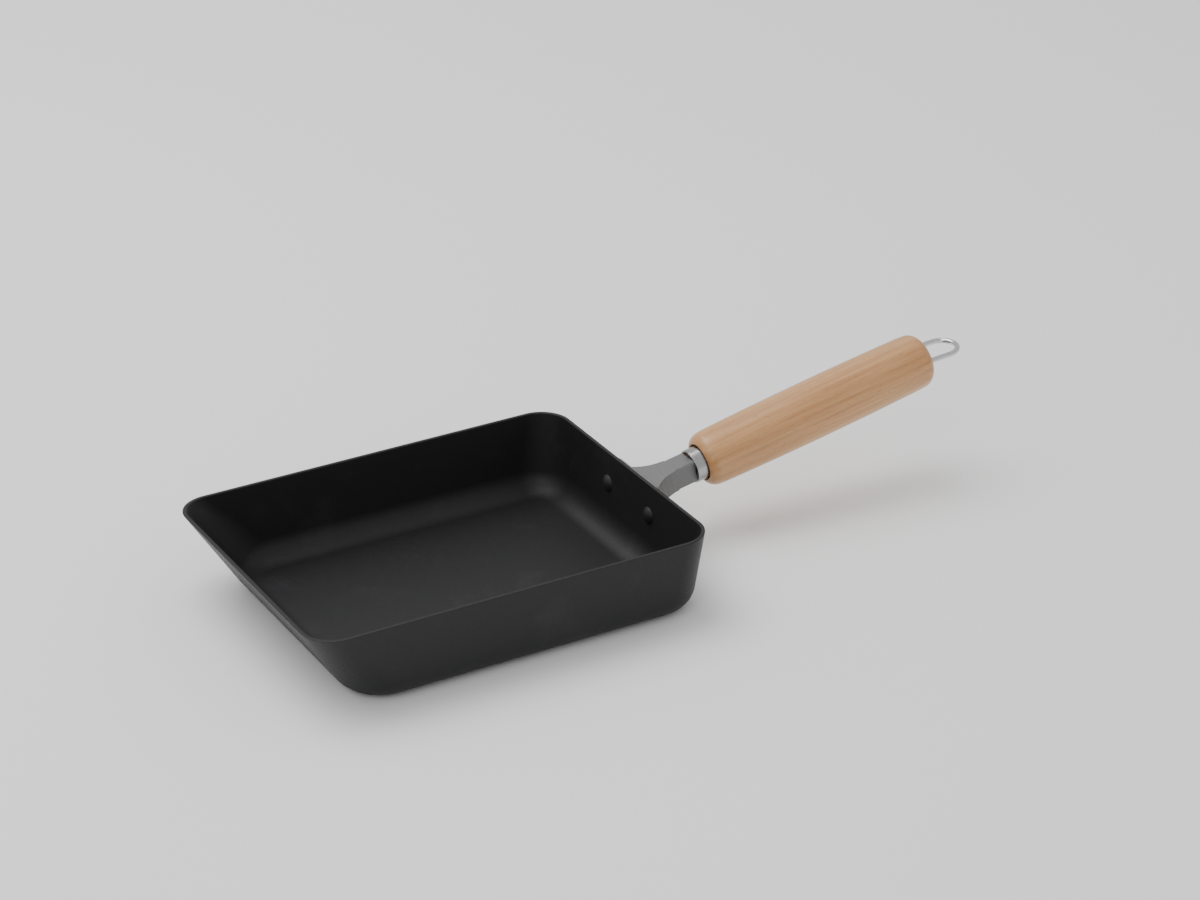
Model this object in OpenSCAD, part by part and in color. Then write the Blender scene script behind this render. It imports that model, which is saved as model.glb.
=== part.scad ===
// Rectangular rolled-omelette pan: pressed pan, cast neck, turned wooden grip and wire hanging loop.
// +X runs from the pan towards the grip and +Z is up.
// The origin is on the table, under the middle of the rim's outline.

/* [Pan] */
// Length of the rim, from the sloping front to the handle side
rim_length = 180; // [160:1:200]
// Width of the rim
rim_width = 138; // [120:1:160]
// Height of the rim above the table
pan_height = 36.5; // [34:0.5:46]
// Thickness of the pan's sheet
sheet = 1.6; // [1.2:0.1:2.2]
// How far the sloping front wall is set in at the base
front_set_in = 17; // [8:0.5:22]
// How far each side wall is set in at the base
side_set_in = 2; // [1:0.5:5]
// How far the rear wall is set in at the base
rear_set_in = 1.5; // [1:0.25:3]
// Corner radius of the rim, seen from above
rim_corner = 14; // [12:0.5:18]
// Corner radius of the base at the sloping front, seen from above
front_base_corner = 21; // [18:0.5:26]
// Corner radius of the base at the rear, seen from above
rear_base_corner = 18; // [15:0.5:24]
// Outside radius where the walls turn into the base
base_round = 12; // [8:0.5:12.5]

/* [Rivets] */
// Distance between the two rivets
rivet_spacing = 34; // [30:0.5:40]
// Height of the rivets above the table
rivet_height = 22.5; // [21:0.25:24]
// Diameter of a rivet's shank
rivet_shank_d = 4; // [3:0.25:5]
// Diameter of a rivet's heads
rivet_head_d = 7.6; // [6:0.1:9]
// Height of a rivet's domed head
rivet_head_h = 1.9; // [1.2:0.1:2.6]

/* [Bracket] */
// Thickness of the flange on the rear wall
flange_thickness = 3; // [2:0.25:4]
// Height of the flange, along the wall
flange_height = 17; // [15:0.5:18]
// Width of the neck
neck_width = 10.3; // [9.4:0.1:10.8]
// Height of the neck
neck_height = 10; // [9:0.1:10.4]
// Radius of the curves from the neck into the flange
neck_flare = 18; // [12:0.5:20]
// Radius of the curves under and over the neck at the flange
neck_root = 3; // [2:0.25:3.5]
// Bevel along the neck's long edges
neck_bevel = 0.5; // [0.3:0.1:0.8]

/* [Grip] */
// Angle at which the handle rises from level
handle_tilt = 11; // [8:0.5:14]
// Height of the handle's axis at the end of the rim
handle_height = 24.6; // [23.4:0.2:25.8]
// Distance along the handle from the end of the rim to the grip
grip_start = 33; // [30:0.5:40]
// Length of the grip
grip_length = 116; // [100:1:135]
// Diameter of the grip's front end
grip_front_d = 23.9; // [22.5:0.1:26]
// Diameter of the grip's middle
grip_middle_d = 25.6; // [24:0.1:30]
// Diameter of the grip's rear end
grip_rear_d = 24.3; // [23:0.1:28]
// Radius of the grip's rounded ends
grip_edge = 5.3; // [3:0.1:6]

/* [Ferrule] */
// Outside diameter of the ferrule
ferrule_d = 14.8; // [14.6:0.1:16]
// Wall of the ferrule
ferrule_wall = 1; // [0.7:0.1:1.3]
// Length of the ferrule that shows in front of the grip
ferrule_show = 4.5; // [3:0.5:7]
// Depth of the ferrule's seat in the grip
ferrule_depth = 6; // [4:0.5:10]
// Gap between the ferrule and the wood around it
ferrule_gap = 0.6; // [0.3:0.1:1]

/* [Tie bolt] */
// Diameter of the tie bolt
bolt_d = 5; // [4:0.25:5.5]
// Length of the bolt in the neck's thread
bolt_engagement = 14; // [10:0.5:16]
// Outside diameter of the flat washer
washer_d = 15; // [12:0.5:16]
// Thickness of the flat washer
washer_t = 1.2; // [0.8:0.1:1.6]
// Outside diameter of the spring washer
spring_washer_d = 9.2; // [8.6:0.1:10.4]
// Thickness of the spring washer
spring_washer_t = 1.3; // [1:0.1:1.8]

/* [Hanging loop] */
// Diameter of the loop's wire
loop_wire_d = 2.4; // [2:0.1:2.6]
// Distance between the loop's legs, centre to centre
loop_width = 14.3; // [13.8:0.1:15.5]
// Distance from the pivot to the middle of the wire at the loop's far end
loop_reach = 23; // [20:0.5:35]
// Angle at which the loop hangs below the handle's axis
loop_droop = 6.5; // [0:0.5:12]
// Distance of the pivot inside the grip's rear end
pivot_depth = 6; // [5:0.25:8]
// Height of the pivot above the handle's axis
pivot_rise = 2.1; // [1.5:0.1:2.4]
// Gap between the loop's two bent ends, inside the carrier
loop_end_gap = 3; // [2:0.5:5]
// Length of the carrier ahead of the pivot, where the bolt screws in
carrier_ahead = 6; // [5.5:0.25:8]
// Length of the carrier behind the pivot
carrier_behind = 3.5; // [3:0.25:4.5]
// Depth of the bolt's hole in the carrier
carrier_bore = 4; // [3:0.25:4]

/* [Fits] */
// Clearance all round a rivet or bolt in its hole
hole_clearance = 0.05; // [0.03:0.01:0.1]
// Gap where the flange and the rivets' inner heads lie on the wall
seat_gap = 0.04; // [0.03:0.01:0.08]
// Clearance all round the bolt in the wood
bore_clearance = 0.4; // [0.2:0.05:0.8]
// Clearance all round the wooden tenon in the ferrule
tenon_clearance = 0.1; // [0.05:0.05:0.2]
// Clearance all round the loop's ends in the carrier
pivot_clearance = 0.05; // [0.03:0.01:0.1]
// Gap between the loop's legs and the recess
recess_gap = 0.65; // [0.5:0.05:0.9]
// Gap between the loop's legs and the carrier
carrier_gap = 0.45; // [0.3:0.05:0.8]
// Gap round a rivet's outer head, where the neck's flare is cut away for it
spot_gap = 0.4; // [0.2:0.1:0.8]

/* [Hidden] */

round_fn = 72;
hull_fn = 32;
arc_steps = 8;
past = 1;

neck_end = grip_start - ferrule_show;
grip_end = grip_start + grip_length;
bolt_r = bolt_d / 2;

// Room left at a blind hole's end, and between the tenon and the neck
end_room = 0.5;
tenon_gap = 1;
// Bevel on turned and cut ends
end_bevel = 0.4;
// Thickness of the discs at the rim that the walls are drawn from
rim_disc = 0.01;
// Width of the cut in the spring washer
washer_split = 1;

// The carrier stands between the loop's legs, and the recess goes round them
carrier_r = loop_width / 2 - loop_wire_d / 2 - carrier_gap;
recess_r = loop_width / 2 + loop_wire_d / 2 + recess_gap;
pivot_at = grip_end - pivot_depth;
carrier_start = pivot_at - carrier_ahead;
recess_floor = carrier_start - spring_washer_t - washer_t;

// How far the rear wall leans out from upright
rear_lean = wall_lean(rear_set_in);

// Angle between a wall and the vertical: the wall is the tangent from the rim to the base's round
function wall_lean(set_in) =
    let (across = set_in + base_round, up = pan_height - base_round)
    90 - atan2(up, across) - asin(base_round / norm([across, up]));

// Level distance through a wall that leans
function wall_through(set_in) = sheet / cos(wall_lean(set_in));

// Outside face of the rear wall at a height
function rear_wall_x(z) = rim_length / 2 - (pan_height - z) * tan(rear_lean);

// Radius of the grip at a share of its length, on the parabola through its three diameters
function grip_r(t) =
    (grip_front_d * (1 - t) * (1 - 2 * t) + grip_middle_d * 4 * t * (1 - t) + grip_rear_d * t * (2 * t - 1)) / 2;

// Places its children in the handle's frame: +X along the handle's axis, Z square to it
module along_handle() {
    translate([rim_length / 2, 0, handle_height])
        rotate([0, -handle_tilt, 0])
            children();
}

// Turns a child that stands on Z onto the handle's axis, a distance along it
module on_axis(distance) {
    along_handle()
        translate([distance, 0, 0])
            rotate([0, 90, 0])
                children();
}

// Places its children on the rear wall's outside face, with Z pointing out of the wall
module on_rear_wall() {
    translate([rear_wall_x(rivet_height), 0, rivet_height])
        rotate([0, 90 + rear_lean, 0])
            children();
}

// One corner of the base: a disc whose lower edge is rounded, standing on z = 0
module base_button(corner, edge) {
    rotate_extrude($fn = hull_fn)
        polygon(concat(
            [[0, 0]],
            [for (k = [0:arc_steps])
                let (a = 90 * k / arc_steps)
                [corner - edge + edge * sin(a), edge - edge * cos(a)]],
            [[0, edge]]));
}

// The pan's form, shrunk by a depth on every wall and lifted by it at the base
module pan_form(depth, front_in, side_in, rear_in, top) {
    edge = base_round - depth;
    hull() {
        for (side = [-1, 1]) {
            translate([-rim_length / 2 + front_in + rim_corner - depth,
                       side * (rim_width / 2 - side_in - rim_corner + depth), pan_height - rim_disc])
                cylinder(r = rim_corner - depth, h = rim_disc + top, $fn = hull_fn);
            translate([rim_length / 2 - rear_in - rim_corner + depth,
                       side * (rim_width / 2 - side_in - rim_corner + depth), pan_height - rim_disc])
                cylinder(r = rim_corner - depth, h = rim_disc + top, $fn = hull_fn);
            translate([-rim_length / 2 + front_set_in + front_base_corner,
                       side * (rim_width / 2 - side_set_in - front_base_corner), depth])
                base_button(front_base_corner - depth, edge);
            translate([rim_length / 2 - rear_set_in - rear_base_corner,
                       side * (rim_width / 2 - side_set_in - rear_base_corner), depth])
                base_button(rear_base_corner - depth, edge);
        }
    }
}

// Pressed sheet pan with two rivet holes in its rear wall
module pan_body() {
    color([0.1, 0.1, 0.11])
        difference() {
            pan_form(0, 0, 0, 0, 0);
            pan_form(sheet, wall_through(front_set_in), wall_through(side_set_in),
                     wall_through(rear_set_in), past);
            rivet_holes(rivet_shank_d / 2 + hole_clearance);
        }
}

// Holes for both rivets, through the wall and the flange
module rivet_holes(r) {
    on_rear_wall()
        for (side = [-1, 1])
            translate([0, side * rivet_spacing / 2, -sheet - past])
                cylinder(r = r, h = sheet + flange_thickness + 2 * past, $fn = round_fn);
}

// Flat spots cut in the neck's flare for the rivets' outer heads
module rivet_spots() {
    on_rear_wall()
        for (side = [-1, 1])
            translate([0, side * rivet_spacing / 2, flange_thickness])
                cylinder(r = rivet_head_d / 2 + spot_gap, h = neck_flare, $fn = round_fn);
}

// Points of a domed head of a given base radius and height, from the rim to the top
function dome(r, h, base, up) =
    let (ball = (r * r + h * h) / (2 * h), sweep = asin(r / ball))
    [for (k = [0:arc_steps])
        let (a = sweep * (1 - k / arc_steps))
        [ball * sin(a), base + up * (ball * cos(a) - ball + h)]];

// A rivet: domed head inside the pan, shank, and a formed head on the flange
module rivet(side) {
    head_r = rivet_head_d / 2;
    color([0.6, 0.6, 0.6])
        on_rear_wall()
            translate([0, side * rivet_spacing / 2, 0])
                rotate_extrude($fn = round_fn)
                    polygon(concat(
                        [[rivet_shank_d / 2, -sheet - seat_gap]],
                        dome(head_r, rivet_head_h, -sheet - seat_gap, -1),
                        [for (p = [len(dome(1, 1, 0, 1)) - 1:-1:0])
                            dome(head_r, rivet_head_h, flange_thickness, 1)[p]],
                        [[rivet_shank_d / 2, flange_thickness]]));
}

module rivet_left() {
    rivet(1);
}

module rivet_right() {
    rivet(-1);
}

// Plan of the neck: straight bar that flares into the flange
module neck_plan(face, shrink) {
    half = neck_width / 2 - shrink;
    flare = [for (k = [0:arc_steps])
        let (a = 90 * k / arc_steps)
        [face + neck_flare - neck_flare * sin(a), half + neck_flare - neck_flare * cos(a)]];
    back = face - flange_thickness - neck_root;
    polygon(concat(
        [[neck_end, -half], [neck_end, half]],
        flare,
        [[back, half + neck_flare], [back, -half - neck_flare]],
        [for (k = [arc_steps:-1:0]) [flare[k][0], -flare[k][1]]]));
}

// Side view of the neck: straight bar with small curves over and under it at the flange
module neck_side(face) {
    half = neck_height / 2;
    lean = rear_lean + handle_tilt;
    top = [for (k = [0:arc_steps])
        let (a = (90 + lean) * k / arc_steps)
        [face + half * tan(lean) + neck_root / cos(lean) * (1 - sin(a)) + neck_root * tan(lean),
         half + neck_root - neck_root * cos(a)]];
    back = face - flange_thickness - 2 * neck_root;
    polygon(concat(
        [[neck_end, -half], [neck_end, half]],
        top,
        [[back, half + neck_root], [back, -half]]));
}

// Cast bracket: flange on the rear wall and the neck that takes the tie bolt
module handle_bracket() {
    // Where the flange's outside face crosses the handle's axis, along the axis
    lean = rear_lean + handle_tilt;
    wall_gap = (rear_wall_x(handle_height) - rim_length / 2) * cos(rear_lean);
    face = (wall_gap + flange_thickness) / cos(lean);
    color([0.5, 0.5, 0.49])
        difference() {
            union() {
                on_rear_wall()
                    flange();
                along_handle()
                    intersection() {
                        linear_extrude(height = neck_height + 2 * neck_root + 2 * past, center = true)
                            neck_plan(face, 0);
                        rotate([90, 0, 0])
                            linear_extrude(height = neck_width + 2 * neck_flare + 2 * past, center = true)
                                neck_side(face);
                    }
            }
            neck_edge_bevels(face);
            on_rear_wall()
                translate([-pan_height, -rim_width / 2, seat_gap - pan_height])
                    cube([2 * pan_height, rim_width, pan_height]);
            rivet_holes(rivet_shank_d / 2 + hole_clearance);
            rivet_spots();
            on_axis(neck_end - bolt_engagement)
                cylinder(r = bolt_r + hole_clearance, h = bolt_engagement + past, $fn = round_fn);
        }
}

// Bevels along the four long edges of the straight bar
module neck_edge_bevels(face) {
    run = neck_end - face - neck_flare;
    along_handle()
        for (side = [-1, 1], level = [-1, 1])
            translate([neck_end - run / 2, side * neck_width / 2, level * neck_height / 2])
                rotate([45, 0, 0])
                    cube([run + 2 * past, neck_bevel * sqrt(2), neck_bevel * sqrt(2)], center = true);
}

// Flange: a plate with round ends about the rivets
module flange() {
    translate([-flange_height / 2, -rivet_spacing / 2, seat_gap])
        cube([flange_height, rivet_spacing, flange_thickness - seat_gap]);
    for (side = [-1, 1])
        translate([0, side * rivet_spacing / 2, seat_gap])
            cylinder(r = flange_height / 2, h = flange_thickness - seat_gap, $fn = round_fn);
}

// Bright collar that closes the joint between the neck and the grip
module neck_ferrule() {
    outer = ferrule_d / 2;
    inner = outer - ferrule_wall;
    span = ferrule_show + ferrule_depth;
    color([0.8, 0.8, 0.8])
        on_axis(neck_end)
            rotate_extrude($fn = round_fn)
                polygon([
                    [inner, 0],
                    [outer - end_bevel / 2, 0],
                    [outer, end_bevel / 2],
                    [outer, span],
                    [inner, span]]);
}

// Turned grip: belly between rounded ends, tenon for the ferrule, through bore and rear recess
module wooden_grip() {
    front_r = grip_front_d / 2;
    rear_r = grip_rear_d / 2;
    belly_steps = 24;
    groove_r = ferrule_d / 2 + ferrule_gap;
    tenon_r = ferrule_d / 2 - ferrule_wall - tenon_clearance;
    color([0.72, 0.5, 0.3])
        difference() {
            union() {
                difference() {
                    on_axis(grip_start)
                        rotate_extrude($fn = round_fn)
                            polygon(concat(
                                [[0, 0]],
                                [for (k = [0:arc_steps])
                                    let (a = 90 * k / arc_steps)
                                    [front_r - grip_edge + grip_edge * sin(a), grip_edge * (1 - cos(a))]],
                                [for (k = [1:belly_steps - 1])
                                    let (z = grip_edge + (grip_length - 2 * grip_edge) * k / belly_steps)
                                    [grip_r(z / grip_length), z]],
                                [for (k = [arc_steps:-1:0])
                                    let (a = 90 * k / arc_steps)
                                    [rear_r - grip_edge + grip_edge * sin(a),
                                     grip_length - grip_edge * (1 - cos(a))]],
                                [[0, grip_length]]));
                    on_axis(grip_start - past)
                        cylinder(r = groove_r, h = ferrule_depth + past, $fn = round_fn);
                }
                on_axis(neck_end + tenon_gap)
                    cylinder(r = tenon_r, h = ferrule_show + ferrule_depth - tenon_gap + past, $fn = round_fn);
            }
            on_axis(neck_end)
                cylinder(r = bolt_r + bore_clearance, h = grip_end - neck_end + past, $fn = round_fn);
            on_axis(recess_floor)
                cylinder(r = recess_r, h = grip_end - recess_floor + past, $fn = round_fn);
        }
}

// Rod that ties the neck, ferrule and grip together
module tie_bolt() {
    start = neck_end - bolt_engagement + end_room;
    span = carrier_start + carrier_bore - end_room - start;
    color([0.65, 0.65, 0.65])
        on_axis(start)
            rotate_extrude($fn = round_fn)
                polygon([
                    [0, 0],
                    [bolt_r - end_bevel, 0],
                    [bolt_r, end_bevel],
                    [bolt_r, span - end_bevel],
                    [bolt_r - end_bevel, span],
                    [0, span]]);
}

// Cross-drilled nut on the rod's rear end: the loop's bent ends turn in it
module loop_carrier() {
    color([0.6, 0.6, 0.6])
        difference() {
            on_axis(carrier_start)
                cylinder(r = carrier_r, h = carrier_ahead + carrier_behind, $fn = round_fn);
            on_axis(carrier_start - past)
                cylinder(r = bolt_r + hole_clearance, h = carrier_bore + past, $fn = round_fn);
            along_handle()
                translate([pivot_at, 0, pivot_rise])
                    rotate([90, 0, 0])
                        cylinder(r = loop_wire_d / 2 + pivot_clearance, h = 2 * carrier_r + 2 * past,
                                 center = true, $fn = round_fn);
        }
}

// Flat washer on the floor of the recess
module seat_washer() {
    color([0.7, 0.7, 0.7])
        on_axis(recess_floor)
            difference() {
                cylinder(r = washer_d / 2, h = washer_t, $fn = round_fn);
                translate([0, 0, -past])
                    cylinder(r = bolt_r + bore_clearance, h = washer_t + 2 * past, $fn = round_fn);
            }
}

// Split washer between the flat washer and the carrier
module spring_washer() {
    color([0.55, 0.55, 0.55])
        on_axis(recess_floor + washer_t)
            difference() {
                cylinder(r = spring_washer_d / 2, h = spring_washer_t, $fn = round_fn);
                translate([0, 0, -past])
                    cylinder(r = bolt_r + bore_clearance / 2, h = spring_washer_t + 2 * past, $fn = round_fn);
                translate([0, -washer_split / 2, -past])
                    cube([spring_washer_d, washer_split, spring_washer_t + 2 * past]);
            }
}

// Wire loop: two legs, a half ring at the far end, and ends bent inwards at the pivot
module hanging_loop() {
    half = loop_width / 2;
    wire_r = loop_wire_d / 2;
    straight = loop_reach - half;
    color([0.85, 0.85, 0.85])
        along_handle()
            translate([pivot_at, 0, pivot_rise])
                rotate([0, loop_droop, 0]) {
                    translate([straight, 0, 0])
                        rotate([0, 0, -90])
                            rotate_extrude(angle = 180, $fn = round_fn)
                                translate([half, 0])
                                    circle(r = wire_r, $fn = hull_fn);
                    for (side = [-1, 1])
                        translate([0, side * half, 0]) {
                            rotate([0, 90, 0])
                                cylinder(r = wire_r, h = straight, $fn = hull_fn);
                            sphere(r = wire_r, $fn = hull_fn);
                            rotate([side * 90, 0, 0])
                                cylinder(r = wire_r, h = half - loop_end_gap / 2, $fn = hull_fn);
                        }
                }
}

pan_body();
handle_bracket();
rivet_left();
rivet_right();
neck_ferrule();
wooden_grip();
tie_bolt();
loop_carrier();
seat_washer();
spring_washer();
hanging_loop();
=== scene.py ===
import math

import bpy
from mathutils import Matrix, Vector


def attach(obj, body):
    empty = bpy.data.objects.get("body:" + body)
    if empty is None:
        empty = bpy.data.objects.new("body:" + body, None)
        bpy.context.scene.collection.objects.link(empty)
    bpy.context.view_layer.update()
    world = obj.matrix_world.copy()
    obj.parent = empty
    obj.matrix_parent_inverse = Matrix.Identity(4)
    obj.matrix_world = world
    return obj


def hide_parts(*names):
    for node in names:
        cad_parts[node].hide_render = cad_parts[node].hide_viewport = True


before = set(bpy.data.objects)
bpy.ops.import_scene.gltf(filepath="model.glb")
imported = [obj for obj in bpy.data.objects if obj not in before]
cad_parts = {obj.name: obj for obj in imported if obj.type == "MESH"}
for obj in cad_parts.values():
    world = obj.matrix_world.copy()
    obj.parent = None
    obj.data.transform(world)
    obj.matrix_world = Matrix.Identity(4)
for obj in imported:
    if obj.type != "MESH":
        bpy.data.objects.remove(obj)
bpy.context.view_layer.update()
print("stage: frame loaded")

mm = 0.001
flatWeight = 80
mottleRange = (0.3, 0.7)

# camera

cameraView = {
    "azimuth": -29.40,
    "elevation": 26.87,
    "roll": -0.47,
    "place": (-0.5523, -1.1121, 0.6960),
    "lens": 103.17,
    "sensor": 36.0,
}


def makeCamera(view):
    azimuth = math.radians(view["azimuth"])
    elevation = math.radians(view["elevation"])
    back = Vector((
        math.sin(azimuth) * math.cos(elevation),
        -math.cos(azimuth) * math.cos(elevation),
        math.sin(elevation)))
    right = Vector((math.cos(azimuth), math.sin(azimuth), 0.0))
    up = back.cross(right)
    turn = Matrix((right, up, back)).transposed().to_4x4()
    data = bpy.data.cameras.new("camera")
    data.lens = view["lens"]
    data.sensor_width = view["sensor"]
    camera = bpy.data.objects.new("camera", data)
    bpy.context.scene.collection.objects.link(camera)
    camera.matrix_world = (
        Matrix.Translation(view["place"]) @ turn @ Matrix.Rotation(math.radians(view["roll"]), 4, "Z"))
    bpy.context.scene.camera = camera


makeCamera(cameraView)
print("stage: camera set")


# mesh helpers

def linkMesh(name, points, faces, place=None):
    mesh = bpy.data.meshes.new(name)
    mesh.from_pydata([tuple(p) for p in points], [], faces)
    mesh.validate()
    mesh.update()
    for face in mesh.polygons:
        face.use_smooth = True
    piece = bpy.data.objects.new(name, mesh)
    bpy.context.scene.collection.objects.link(piece)
    if place is not None:
        piece.matrix_world = place
    return piece


def keepFlatsFlat(piece):
    weighted = piece.modifiers.new("flats", "WEIGHTED_NORMAL")
    weighted.mode = "FACE_AREA"
    weighted.weight = flatWeight


# turns a closed profile of (along, radius) pairs about the local X axis
def lathe(name, profile, place, around=128):
    points = []
    faces = []
    rows = len(profile)
    for along, radius in profile:
        for k in range(around):
            angle = 2 * math.pi * k / around
            points.append((along, radius * math.cos(angle), radius * math.sin(angle)))
    for row in range(rows):
        nextRow = (row + 1) % rows
        for k in range(around):
            nextK = (k + 1) % around
            faces.append((
                row * around + k, row * around + nextK,
                nextRow * around + nextK, nextRow * around + k))
    return linkMesh(name, points, faces, place)


# points of an arc in (along, radius), with angles in degrees from the along axis
def arc(centreAlong, centreRadius, radius, start, end, steps):
    made = []
    for k in range(steps + 1):
        angle = math.radians(start + (end - start) * k / steps)
        made.append((centreAlong + radius * math.cos(angle), centreRadius + radius * math.sin(angle)))
    return made


# a round wire along a path of points, with rings turned square to it
def sweepWire(name, path, radius, place, around=24):
    points = []
    faces = []
    side = Vector((0, 0, 1))
    for k, centre in enumerate(path):
        before = path[max(k - 1, 0)]
        after = path[min(k + 1, len(path) - 1)]
        along = (after - before).normalized()
        across = side.cross(along).normalized()
        for step in range(around):
            angle = 2 * math.pi * step / around
            points.append(centre + radius * (math.cos(angle) * across + math.sin(angle) * side))
    rings = len(path)
    for ring in range(rings - 1):
        for step in range(around):
            nextStep = (step + 1) % around
            faces.append((
                ring * around + step, ring * around + nextStep,
                (ring + 1) * around + nextStep, (ring + 1) * around + step))
    faces.append(tuple(reversed(range(around))))
    faces.append(tuple(range((rings - 1) * around, rings * around)))
    return linkMesh(name, points, faces, place)


# shader helpers

def newMaterial(name):
    material = bpy.data.materials.new(name)
    material.use_nodes = True
    nodes = material.node_tree.nodes
    nodes.clear()
    output = nodes.new("ShaderNodeOutputMaterial")
    shader = nodes.new("ShaderNodeBsdfPrincipled")
    material.node_tree.links.new(shader.outputs[0], output.inputs["Surface"])
    return material, shader


def addNode(tree, kind, inputs):
    node = tree.nodes.new(kind)
    for key, value in inputs.items():
        if isinstance(value, bpy.types.NodeSocket):
            tree.links.new(value, node.inputs[key])
        else:
            node.inputs[key].default_value = value
    return node


def stretchedNoise(tree, vector, scales, detail, rough, distortion=0.0):
    mapping = addNode(tree, "ShaderNodeMapping", {"Vector": vector, "Scale": scales})
    noise = addNode(tree, "ShaderNodeTexNoise", {
        "Vector": mapping.outputs[0], "Scale": 1.0, "Detail": detail,
        "Roughness": rough, "Distortion": distortion})
    return noise.outputs[0]


def remap(tree, value, low, high, outLow=0.0, outHigh=1.0):
    node = addNode(tree, "ShaderNodeMapRange", {
        "Value": value, "From Min": low, "From Max": high, "To Min": outLow, "To Max": outHigh})
    return node.outputs[0]


def mathNode(tree, operation, first, second):
    node = tree.nodes.new("ShaderNodeMath")
    node.operation = operation
    for socket, value in zip(node.inputs, (first, second)):
        if isinstance(value, bpy.types.NodeSocket):
            tree.links.new(value, socket)
        else:
            socket.default_value = value
    return node.outputs[0]


def mixColour(tree, share, first, second):
    node = tree.nodes.new("ShaderNodeMix")
    node.data_type = "RGBA"
    for socket, value in ((node.inputs[0], share), (node.inputs[6], first), (node.inputs[7], second)):
        if isinstance(value, bpy.types.NodeSocket):
            tree.links.new(value, socket)
        else:
            socket.default_value = value
    return node.outputs[2]


def groupSocket(tree, name, direction):
    tree.interface.new_socket(name=name, in_out=direction, socket_type="NodeSocketFloat")


wearLook = {
    "mottle": {"Detail": 4.0, "Roughness": 0.6},
    "scuffs": {"Detail": 6.0, "Roughness": 0.7},
    "grain": {"Detail": 2.0, "Roughness": 0.5},
    "scuffRange": (0.55, 0.75),
}


# masks of fine mottling, scuffs and grain, used by every metal and by the coating
def makeWearGroup():
    tree = bpy.data.node_groups.new("surfaceWear", "ShaderNodeTree")
    groupSocket(tree, "Mottle Scale", "INPUT")
    groupSocket(tree, "Scuff Scale", "INPUT")
    groupSocket(tree, "Grain Scale", "INPUT")
    groupSocket(tree, "Mottle", "OUTPUT")
    groupSocket(tree, "Scuffs", "OUTPUT")
    groupSocket(tree, "Grain", "OUTPUT")
    groupIn = tree.nodes.new("NodeGroupInput")
    groupOut = tree.nodes.new("NodeGroupOutput")
    coords = tree.nodes.new("ShaderNodeTexCoord")
    place = coords.outputs["Object"]
    mottle = addNode(tree, "ShaderNodeTexNoise", {
        "Vector": place, "Scale": groupIn.outputs["Mottle Scale"], **wearLook["mottle"]})
    scuffs = addNode(tree, "ShaderNodeTexNoise", {
        "Vector": place, "Scale": groupIn.outputs["Scuff Scale"], **wearLook["scuffs"]})
    grain = addNode(tree, "ShaderNodeTexNoise", {
        "Vector": place, "Scale": groupIn.outputs["Grain Scale"], **wearLook["grain"]})
    tree.links.new(mottle.outputs[0], groupOut.inputs["Mottle"])
    tree.links.new(remap(tree, scuffs.outputs[0], *wearLook["scuffRange"]), groupOut.inputs["Scuffs"])
    tree.links.new(grain.outputs[0], groupOut.inputs["Grain"])
    return tree


wearGroup = makeWearGroup()


def addWear(tree, mottle, scuff, grain):
    node = tree.nodes.new("ShaderNodeGroup")
    node.node_tree = wearGroup
    node.inputs["Mottle Scale"].default_value = mottle
    node.inputs["Scuff Scale"].default_value = scuff
    node.inputs["Grain Scale"].default_value = grain
    return node


def addBump(tree, shader, height, strength, distance):
    bump = addNode(tree, "ShaderNodeBump", {
        "Height": height, "Strength": strength, "Distance": distance})
    tree.links.new(bump.outputs[0], shader.inputs["Normal"])


# handle's frame: local X runs along the handle from the end of the rim

handle = {
    "tilt": 11.0,
    "start": (90 * mm, 0.0, 24.6 * mm),
}
alongHandle = Matrix.Translation(handle["start"]) @ Matrix.Rotation(-math.radians(handle["tilt"]), 4, "Y")


# pan shell

pan = {
    "length": 180 * mm,
    "width": 138 * mm,
    "height": 36.5 * mm,
    "sheet": 1.6 * mm,
    "setIn": {"front": 17 * mm, "side": 2 * mm, "rear": 1.5 * mm},
    "rimCorner": 14 * mm,
    "baseCorner": {"front": 21 * mm, "rear": 18 * mm},
    "baseRound": 12 * mm,
    "lipRound": 0.45 * mm,
    "cornerSteps": 20,
    "roundSteps": 14,
    "wallSteps": 6,
    "lipSteps": 4,
    "colour": (0.010, 0.010, 0.011, 1.0),
    "scuffColour": (0.017, 0.017, 0.0187, 1.0),
    "roughness": (0.46, 0.56),
    "wear": (900.0, 40.0, 5200.0),
    "specular": 0.32,
    "bump": (0.22, 0.00008),
}


def wallLean(across, up, rounding):
    return math.pi / 2 - math.atan2(up, across) - math.asin(rounding / math.hypot(across, up))


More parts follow.
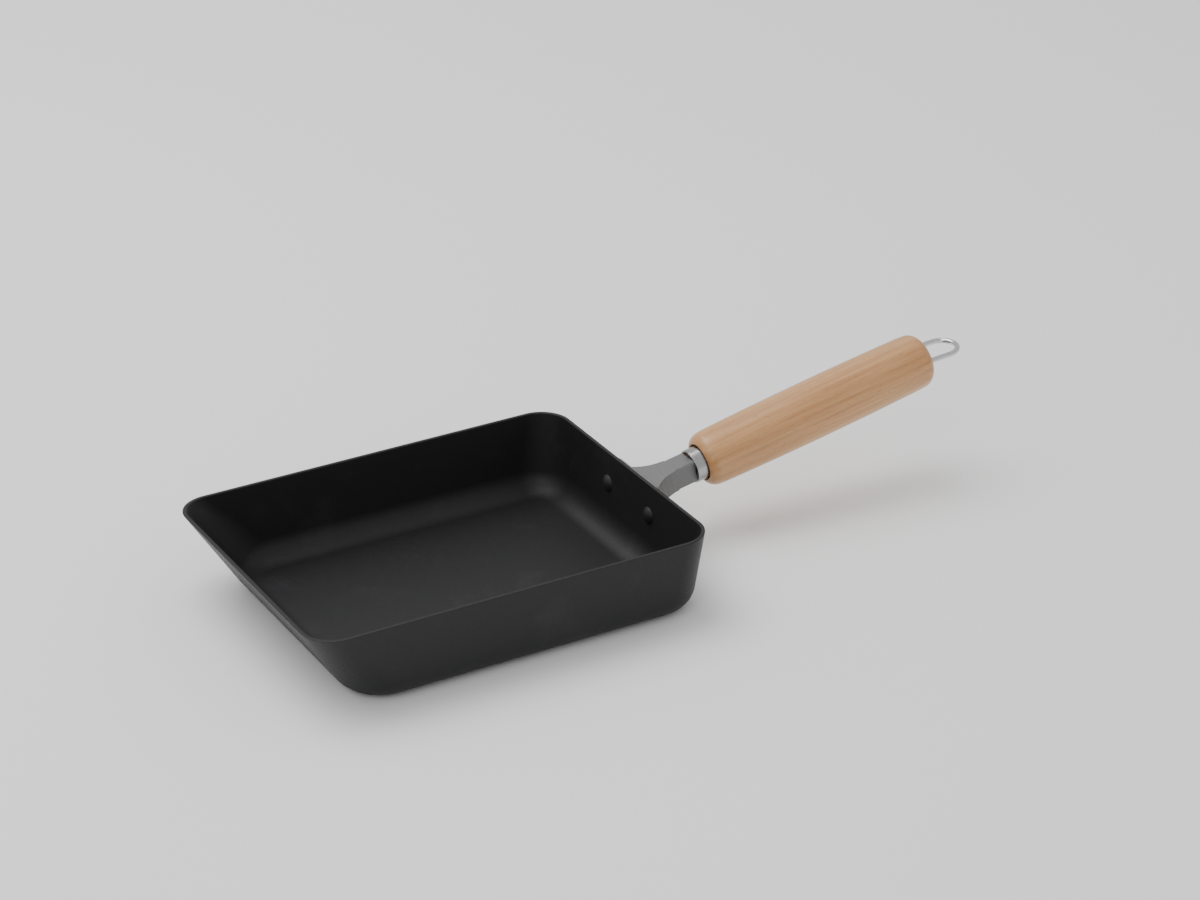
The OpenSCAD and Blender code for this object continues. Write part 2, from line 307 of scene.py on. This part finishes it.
# one column of the pan's surface, from the rim down to the flat, for a plan direction
def panColumn(end, sideSign, angle, depth):
    rounding = pan["baseRound"] - depth
    up = pan["height"] - pan["baseRound"]
    leanThrough = {}
    for wall, setIn in pan["setIn"].items():
        lean = wallLean(setIn + pan["baseRound"], up, pan["baseRound"])
        leanThrough[wall] = depth / math.cos(lean)
    endSign = -1 if end == "front" else 1
    rimRadius = pan["rimCorner"] - depth
    rimCentre = Vector((
        endSign * (pan["length"] / 2 - leanThrough[end] - rimRadius),
        sideSign * (pan["width"] / 2 - leanThrough["side"] - rimRadius)))
    baseCorner = pan["baseCorner"][end]
    baseCentre = Vector((
        endSign * (pan["length"] / 2 - pan["setIn"][end] - baseCorner),
        sideSign * (pan["width"] / 2 - pan["setIn"]["side"] - baseCorner)))
    direction = Vector((math.cos(angle), math.sin(angle)))
    core = baseCorner - pan["baseRound"]
    across = (rimCentre - baseCentre).dot(direction) + rimRadius - core
    lean = wallLean(across, up, rounding)
    rim = rimCentre + rimRadius * direction
    rimPoint = Vector((rim.x, rim.y, pan["height"]))
    footPlan = baseCentre + (core + rounding * math.cos(lean)) * direction
    footPoint = Vector((footPlan.x, footPlan.y, pan["baseRound"] - rounding * math.sin(lean)))
    arcPoints = []
    for k in range(1, pan["roundSteps"] + 1):
        theta = lean + (math.pi / 2 - lean) * k / pan["roundSteps"]
        plan = baseCentre + (core + rounding * math.cos(theta)) * direction
        arcPoints.append(Vector((plan.x, plan.y, pan["baseRound"] - rounding * math.sin(theta))))
    return rimPoint, footPoint, arcPoints


# points of a small round from first to last about a corner
def curveThrough(first, corner, last, steps):
    made = []
    for k in range(steps + 1):
        t = k / steps
        made.append((1 - t) ** 2 * first + 2 * t * (1 - t) * corner + t * t * last)
    return made


def panDirections():
    made = []
    steps = pan["cornerSteps"]
    for end, sideSign, start in (("rear", 1, 0), ("front", 1, 90), ("front", -1, 180), ("rear", -1, 270)):
        for k in range(steps + 1):
            made.append((end, sideSign, math.radians(start + 90 * k / steps)))
    return made


def makePanShell():
    columns = []
    for end, sideSign, angle in panDirections():
        outRim, outFoot, outArc = panColumn(end, sideSign, angle, 0.0)
        inRim, inFoot, inArc = panColumn(end, sideSign, angle, pan["sheet"])
        lip = pan["lipRound"]
        outDown = outRim + (outFoot - outRim).normalized() * lip
        outIn = outRim + (inRim - outRim).normalized() * lip
        inOut = inRim + (outRim - inRim).normalized() * lip
        inDown = inRim + (inFoot - inRim).normalized() * lip
        outWall = [outFoot.lerp(outDown, k / pan["wallSteps"]) for k in range(pan["wallSteps"])]
        inWall = [inDown.lerp(inFoot, (k + 1) / pan["wallSteps"]) for k in range(pan["wallSteps"])]
        columns.append(
            list(reversed(outArc)) + outWall
            + curveThrough(outDown, outRim, outIn, pan["lipSteps"])
            + curveThrough(inOut, inRim, inDown, pan["lipSteps"])
            + inWall + inArc)
    rows = len(columns[0])
    count = len(columns)
    points = [p for column in columns for p in column]
    faces = []
    for c in range(count):
        n = (c + 1) % count
        for r in range(rows - 1):
            faces.append((c * rows + r, n * rows + r, n * rows + r + 1, c * rows + r + 1))
    faces.append(tuple(c * rows for c in reversed(range(count))))
    faces.append(tuple(c * rows + rows - 1 for c in range(count)))
    shell = linkMesh("pan_shell", points, faces)
    keepFlatsFlat(shell)
    return shell


def coatingMaterial():
    material, shader = newMaterial("panCoating")
    tree = material.node_tree
    wear = addWear(tree, *pan["wear"])
    rough = remap(tree, wear.outputs["Mottle"], *mottleRange, *pan["roughness"])
    tree.links.new(rough, shader.inputs["Roughness"])
    colour = mixColour(tree, wear.outputs["Scuffs"], pan["colour"], pan["scuffColour"])
    tree.links.new(colour, shader.inputs["Base Color"])
    shader.inputs["Specular IOR Level"].default_value = pan["specular"]
    addBump(tree, shader, wear.outputs["Grain"], *pan["bump"])
    return material


panShell = makePanShell()
coating = coatingMaterial()
panShell.data.materials.append(coating)
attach(panShell, "pan")
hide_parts("pan_body")
print("stage: pan shell made")


# turned grip

grip = {
    "start": 33 * mm,
    "length": 116 * mm,
    "front": 23.9 * mm,
    "middle": 25.6 * mm,
    "rear": 24.3 * mm,
    "edge": 5.3 * mm,
    "groove": 8.0 * mm,
    "grooveDepth": 6 * mm,
    "tenon": 6.3 * mm,
    "tenonStart": 29.5 * mm,
    "bore": 2.9 * mm,
    "recess": 9.0 * mm,
    "recessDepth": 14.5 * mm,
    "mouthRound": 0.5 * mm,
    "bellySteps": 48,
    "edgeSteps": 16,
}


def gripRadius(share):
    return (grip["front"] * (1 - share) * (1 - 2 * share) + grip["middle"] * 4 * share * (1 - share)
            + grip["rear"] * share * (2 * share - 1)) / 2


# how far in from the end the rounded edge has reached a radius
def edgeAlong(radiusAtEnd, wanted):
    reach = wanted - (radiusAtEnd - grip["edge"])
    return grip["edge"] - math.sqrt(grip["edge"] ** 2 - reach ** 2)


def makeGrip():
    start = grip["start"]
    end = start + grip["length"]
    frontRadius = grip["front"] / 2
    rearRadius = grip["rear"] / 2
    groove = grip["groove"]
    recess = grip["recess"]
    mouth = grip["mouthRound"]
    profile = [(grip["tenonStart"], grip["bore"]), (grip["tenonStart"], grip["tenon"])]
    profile.append((start + grip["grooveDepth"], grip["tenon"]))
    profile.append((start + grip["grooveDepth"], groove))
    frontMouth = start + edgeAlong(frontRadius, groove)
    profile.append((frontMouth + mouth, groove))
    firstAngle = math.acos((groove + mouth - (frontRadius - grip["edge"])) / grip["edge"])
    for k in range(grip["edgeSteps"] + 1):
        angle = firstAngle * (1 - k / grip["edgeSteps"])
        profile.append((
            start + grip["edge"] - grip["edge"] * math.sin(angle),
            frontRadius - grip["edge"] + grip["edge"] * math.cos(angle)))
    for k in range(1, grip["bellySteps"]):
        along = grip["edge"] + (grip["length"] - 2 * grip["edge"]) * k / grip["bellySteps"]
        profile.append((start + along, gripRadius(along / grip["length"])))
    lastAngle = math.acos((recess + mouth - (rearRadius - grip["edge"])) / grip["edge"])
    for k in range(grip["edgeSteps"] + 1):
        angle = lastAngle * k / grip["edgeSteps"]
        profile.append((
            end - grip["edge"] + grip["edge"] * math.sin(angle),
            rearRadius - grip["edge"] + grip["edge"] * math.cos(angle)))
    rearMouth = end - edgeAlong(rearRadius, recess)
    profile.append((rearMouth - mouth, recess))
    profile.append((end - grip["recessDepth"], recess))
    profile.append((end - grip["recessDepth"], grip["bore"]))
    piece = lathe("turned_grip", profile, alongHandle)
    keepFlatsFlat(piece)
    return piece


beech = {
    "light": (0.62, 0.345, 0.150, 1.0),
    "dark": (0.43, 0.205, 0.078, 1.0),
    "fleck": (0.22, 0.085, 0.028, 1.0),
    "broad": {"scales": (9.0, 90.0, 60.0), "detail": 2.0, "rough": 0.5, "distortion": 0.3},
    "streaks": {"scales": (30.0, 900.0, 900.0), "detail": 4.0, "rough": 0.6},
    "pores": {"scales": (330.0, 3400.0, 3400.0), "detail": 2.0, "rough": 0.6},
    "wander": {"scales": (10.0, 30.0, 30.0), "detail": 2.0, "rough": 0.5},
    "ringUp": 0.85,
    "ringAcross": 0.55,
    "ringRate": 1700.0,
    "ringWander": 9.0,
    "broadShare": 0.55,
    "streakShare": 0.45,
    "ringShare": 0.035,
    "toneRange": (0.36, 0.66),
    "fleckRange": (0.62, 0.70),
    "fleckMost": 0.62,
    "roughness": (0.36, 0.46),
    "specular": 0.42,
    "coat": 0.25,
    "coatRoughness": 0.28,
    "streakHeight": 0.5,
    "bump": (0.18, 0.0001),
}


# adds two values, each times its share
def blendSum(tree, first, firstShare, second, secondShare):
    return mathNode(tree, "ADD", mathNode(tree, "MULTIPLY", first, firstShare),
                    mathNode(tree, "MULTIPLY", second, secondShare))


def beechMaterial():
    material, shader = newMaterial("varnishedBeech")
    tree = material.node_tree
    coords = tree.nodes.new("ShaderNodeTexCoord")
    place = coords.outputs["Object"]
    broad, streaks, pores, wander = [
        stretchedNoise(tree, place, **beech[name]) for name in ("broad", "streaks", "pores", "wander")]
    split = addNode(tree, "ShaderNodeSeparateXYZ", {"Vector": place})
    ringWay = blendSum(tree, split.outputs[2], beech["ringUp"], split.outputs[1], beech["ringAcross"])
    ringPhase = blendSum(tree, ringWay, beech["ringRate"], wander, beech["ringWander"])
    rings = mathNode(tree, "SINE", ringPhase, 0.0)
    tone = blendSum(tree, broad, beech["broadShare"], streaks, beech["streakShare"])
    tone = mathNode(tree, "ADD", tone, mathNode(tree, "MULTIPLY", rings, beech["ringShare"]))
    body = mixColour(tree, remap(tree, tone, *beech["toneRange"]), beech["light"], beech["dark"])
    flecks = remap(tree, pores, *beech["fleckRange"], 0.0, beech["fleckMost"])
    tree.links.new(mixColour(tree, flecks, body, beech["fleck"]), shader.inputs["Base Color"])
    rough = remap(tree, streaks, *mottleRange, *beech["roughness"])
    tree.links.new(rough, shader.inputs["Roughness"])
    shader.inputs["Specular IOR Level"].default_value = beech["specular"]
    shader.inputs["Coat Weight"].default_value = beech["coat"]
    shader.inputs["Coat Roughness"].default_value = beech["coatRoughness"]
    height = mathNode(tree, "SUBTRACT", mathNode(tree, "MULTIPLY", streaks, beech["streakHeight"]), flecks)
    addBump(tree, shader, height, *beech["bump"])
    return material


turnedGrip = makeGrip()
turnedGrip.data.materials.append(beechMaterial())
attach(turnedGrip, "pan")
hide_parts("wooden_grip")
print("stage: grip made")


# metals

metals = {
    "roughCast": {
        "colour": (0.20, 0.20, 0.20), "roughness": (0.42, 0.62), "contrast": 0.25,
        "wear": (1300.0, 90.0, 1700.0), "bump": (0.8, 0.0003)},
    "turnedSteel": {
        "colour": (0.42, 0.42, 0.43), "roughness": (0.22, 0.34), "contrast": 0.25,
        "wear": (700.0, 90.0, 3000.0), "bump": (0.1, 0.00005)},
    "platedSteel": {
        "colour": (0.45, 0.45, 0.46), "roughness": (0.30, 0.45), "contrast": 0.25,
        "wear": (800.0, 90.0, 2600.0), "bump": (0.2, 0.00006)},
    "chromedWire": {
        "colour": (0.62, 0.62, 0.63), "roughness": (0.10, 0.20), "contrast": 0.1,
        "wear": (500.0, 90.0, 2600.0), "bump": (0.05, 0.00004)},
}


def metalMaterial(name):
    look = metals[name]
    material, shader = newMaterial(name)
    tree = material.node_tree
    wear = addWear(tree, *look["wear"])
    shader.inputs["Metallic"].default_value = 1.0
    rough = remap(tree, wear.outputs["Mottle"], *mottleRange, *look["roughness"])
    tree.links.new(rough, shader.inputs["Roughness"])
    darker = tuple(c * (1 - look["contrast"]) for c in look["colour"]) + (1.0,)
    brighter = tuple(min(c * (1 + look["contrast"]), 1.0) for c in look["colour"]) + (1.0,)
    tree.links.new(mixColour(tree, wear.outputs["Mottle"], darker, brighter), shader.inputs["Base Color"])
    addBump(tree, shader, wear.outputs["Grain"], *look["bump"])
    return material


castMetal = metalMaterial("roughCast")
turnedSteel = metalMaterial("turnedSteel")
plainSteel = metalMaterial("platedSteel")
chrome = metalMaterial("chromedWire")


# ferrule

ferrule = {
    "start": 28.5 * mm,
    "span": 10.5 * mm,
    "outer": 7.4 * mm,
    "wall": 1.0 * mm,
    "lip": 0.2 * mm,
    "lipSteps": 4,
    "spanSteps": 6,
}


def makeFerrule():
    start = ferrule["start"]
    outer = ferrule["outer"]
    inner = outer - ferrule["wall"]
    lip = ferrule["lip"]
    lipSteps = ferrule["lipSteps"]
    spanSteps = ferrule["spanSteps"]
    end = start + ferrule["span"]
    profile = arc(start + lip, inner + lip, lip, 270, 180, lipSteps)
    profile += arc(start + lip, outer - lip, lip, 180, 90, lipSteps)
    profile += [(start + ferrule["span"] * k / spanSteps, outer) for k in range(1, spanSteps)]
    profile += arc(end - lip, outer - lip, lip, 90, 0, lipSteps)
    profile += arc(end - lip, inner + lip, lip, 0, -90, lipSteps)
    piece = lathe("turned_ferrule", profile, alongHandle)
    keepFlatsFlat(piece)
    return piece


turnedFerrule = makeFerrule()
turnedFerrule.data.materials.append(turnedSteel)
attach(turnedFerrule, "pan")
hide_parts("neck_ferrule")
print("stage: ferrule made")


# hanging loop

loop = {
    "pivot": 143 * mm,
    "rise": 2.1 * mm,
    "droop": 6.5,
    "wire": 1.2 * mm,
    "half": 7.15 * mm,
    "reach": 23 * mm,
    "endGap": 3 * mm,
    "bend": 1.5 * mm,
    "bowSteps": 40,
    "bendSteps": 8,
    "legSteps": 6,
}


def loopPath():
    half = loop["half"]
    bend = loop["bend"]
    straight = loop["reach"] - half
    side = [Vector((0.0, loop["endGap"] / 2, 0.0)), Vector((0.0, half - bend, 0.0))]
    for k in range(1, loop["bendSteps"] + 1):
        angle = math.pi / 2 * k / loop["bendSteps"]
        side.append(Vector((bend - bend * math.cos(angle), half - bend + bend * math.sin(angle), 0.0)))
    legSteps = loop["legSteps"]
    side += [Vector((bend + (straight - bend) * k / legSteps, half, 0.0)) for k in range(1, legSteps)]
    bow = []
    for k in range(loop["bowSteps"] + 1):
        angle = math.pi / 2 - math.pi * k / loop["bowSteps"]
        bow.append(Vector((straight + half * math.cos(angle), half * math.sin(angle), 0.0)))
    other = [Vector((p.x, -p.y, p.z)) for p in reversed(side)]
    return side + bow + other


def makeLoop():
    place = (alongHandle @ Matrix.Translation((loop["pivot"], 0.0, loop["rise"]))
             @ Matrix.Rotation(math.radians(loop["droop"]), 4, "Y"))
    return sweepWire("bent_loop", loopPath(), loop["wire"], place)


bentLoop = makeLoop()
bentLoop.data.materials.append(chrome)
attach(bentLoop, "loop")
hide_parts("hanging_loop")
print("stage: loop made")


# nodes kept from the frame

keptFinishes = {
    "handle_bracket": castMetal,
    "rivet_left": coating,
    "rivet_right": coating,
    "tie_bolt": plainSteel,
    "loop_carrier": plainSteel,
    "seat_washer": plainSteel,
    "spring_washer": plainSteel,
}
for nodeName, finish in keptFinishes.items():
    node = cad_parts[nodeName]
    node.data.materials.clear()
    node.data.materials.append(finish)
print("stage: kept nodes finished")


# floor and lights

studio = {
    "floor": 6.0,
    "floorColour": (0.86, 0.86, 0.86, 1.0),
    "floorPaler": (0.8858, 0.8858, 0.8858, 1.0),
    "floorMottle": {"scales": (3.0, 3.0, 3.0), "detail": 2.0, "rough": 0.5},
    "floorRoughness": 0.9,
    "floorSpecular": 0.1,
    "world": (1.0, 1.0, 1.0, 1.0),
    "worldStrength": 0.75,
    "boxes": [
        {"name": "softTop", "place": (-0.35, 0.55, 1.5), "size": 1.3, "power": 22.0},
        {"name": "softFront", "place": (-1.1, -1.0, 1.3), "size": 1.0, "power": 6.0},
    ],
    "aim": (0.05, 0.0, 0.02),
}


def makeFloor():
    half = studio["floor"] / 2
    corners = [(-half, -half, 0), (half, -half, 0), (half, half, 0), (-half, half, 0)]
    floor = linkMesh("floor", corners, [(0, 1, 2, 3)])
    material, shader = newMaterial("paleFloor")
    tree = material.node_tree
    coords = tree.nodes.new("ShaderNodeTexCoord")
    mottle = stretchedNoise(tree, coords.outputs["Object"], **studio["floorMottle"])
    colour = mixColour(tree, mottle, studio["floorColour"], studio["floorPaler"])
    tree.links.new(colour, shader.inputs["Base Color"])
    shader.inputs["Roughness"].default_value = studio["floorRoughness"]
    shader.inputs["Specular IOR Level"].default_value = studio["floorSpecular"]
    floor.data.materials.append(material)


def makeLights():
    world = bpy.data.worlds.new("studio")
    bpy.context.scene.world = world
    world.use_nodes = True
    background = world.node_tree.nodes["Background"]
    background.inputs["Color"].default_value = studio["world"]
    background.inputs["Strength"].default_value = studio["worldStrength"]
    aim = Vector(studio["aim"])
    for box in studio["boxes"]:
        data = bpy.data.lights.new(box["name"], "AREA")
        data.size = box["size"]
        data.energy = box["power"]
        light = bpy.data.objects.new(box["name"], data)
        bpy.context.scene.collection.objects.link(light)
        light.location = box["place"]
        light.rotation_mode = "QUATERNION"
        light.rotation_quaternion = (aim - light.location).to_track_quat("-Z", "Y")


makeFloor()
makeLights()
print("stage: studio made")
